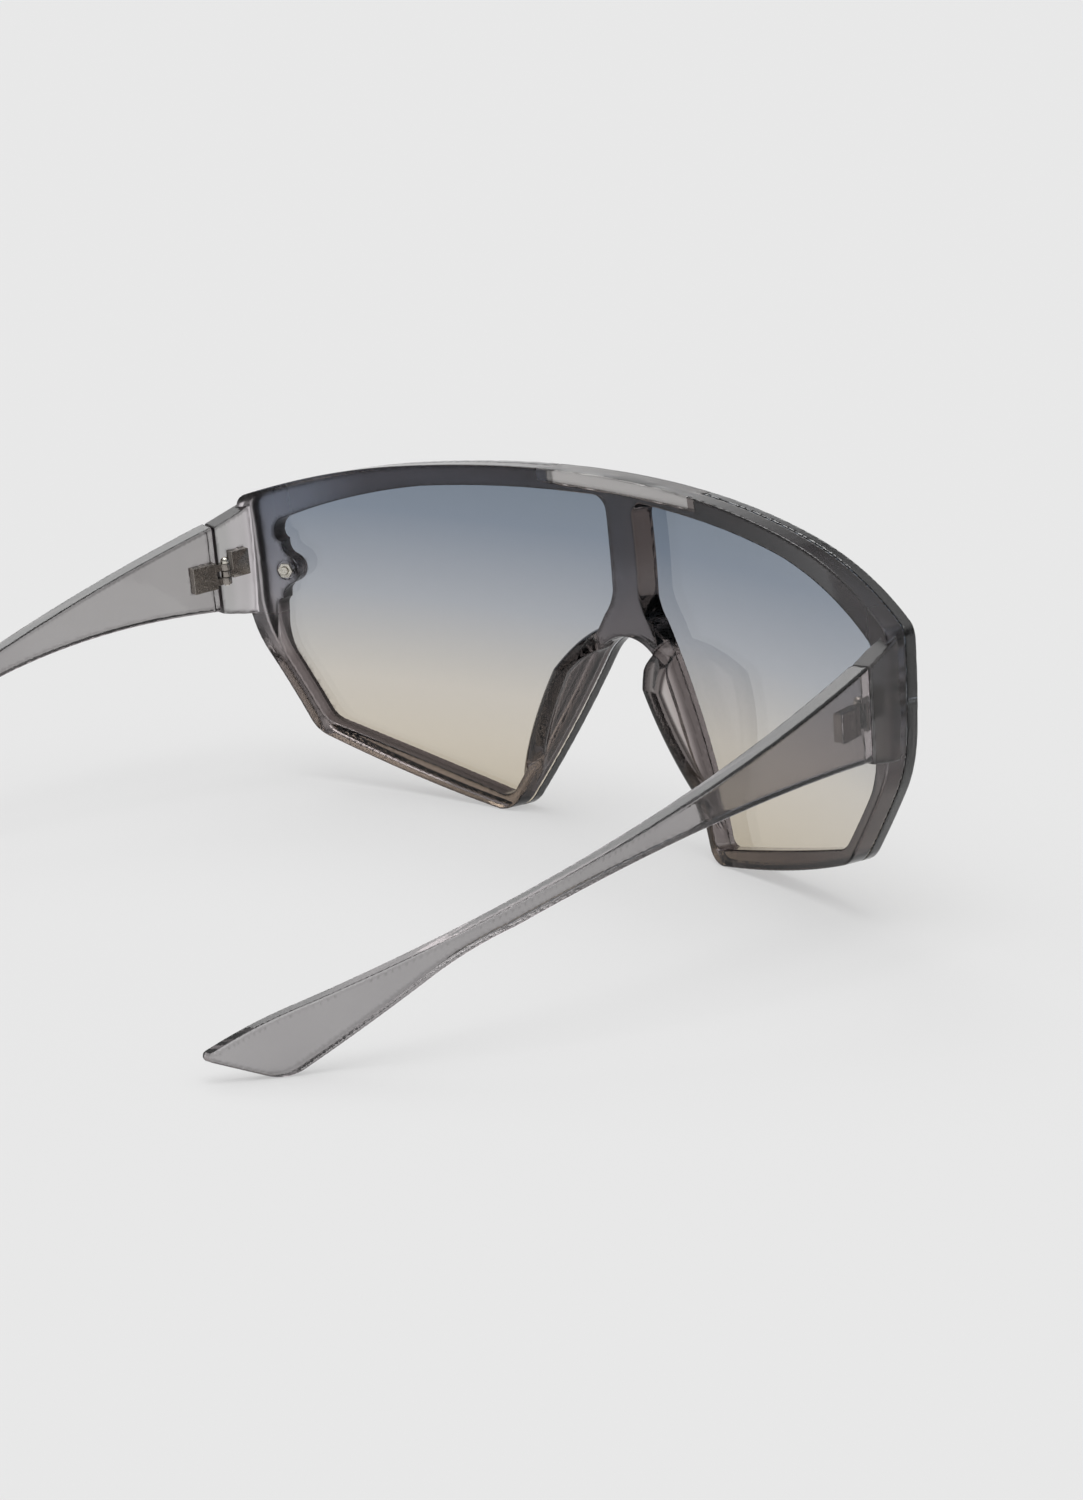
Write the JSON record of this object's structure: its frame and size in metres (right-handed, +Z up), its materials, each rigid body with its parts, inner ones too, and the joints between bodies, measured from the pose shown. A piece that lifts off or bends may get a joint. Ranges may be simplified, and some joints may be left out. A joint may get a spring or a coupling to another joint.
{
  "type": "shield sunglasses",
  "caption": "Wraparound shield sunglasses: a curved gradient lens screwed to a clear smoke-grey half frame with nose wings, and temples that fold on metal hinges.",
  "frame": {"origin": "on the surface that the glasses stand on, midway between the sides and between the front of the lens and the temple tips", "axes": "+X to the wearer's right, +Y forward out of the lens, +Z up"},
  "size_m": [0.151, 0.1388, 0.057],
  "materials": {
    "smoke_plastic": "clear smoke-grey injection-moulded plastic, polished",
    "temple_plastic": "clear smoke-grey injection-moulded plastic, polished",
    "tinted_lens": "clear polycarbonate with a blue-grey to beige gradient tint",
    "hinge_steel": "satin nickel-plated",
    "screw_steel": "bright nickel-plated"
  },
  "bodies": {
    "front": {"front_frame": "smoke_plastic", "shield_lens": "tinted_lens", "lens_screw_right": "screw_steel", "lens_screw_left": "screw_steel", "lens_nut_right": "screw_steel", "lens_nut_left": "screw_steel", "hinge_front_leaf_right": "hinge_steel", "hinge_front_leaf_left": "hinge_steel"},
    "temple_right": {"temple_right": "temple_plastic", "hinge_temple_leaf_right": "hinge_steel", "hinge_screw_right": "screw_steel"},
    "temple_left": {"temple_left": "temple_plastic", "hinge_temple_leaf_left": "hinge_steel", "hinge_screw_left": "screw_steel"}
  },
  "joints": [
    {"name": "temple_right_fold", "type": "hinge", "parent": "front", "child": "temple_right", "pos_m": [0.06865, 0.0402, 0.0348], "axis": [-0.0197, 0.1115, -0.9936], "range_deg": [0, 86]},
    {"name": "temple_left_fold", "type": "hinge", "parent": "front", "child": "temple_left", "pos_m": [-0.06865, 0.0402, 0.0348], "axis": [-0.0197, -0.1115, 0.9936], "range_deg": [0, 91]}
  ]
}
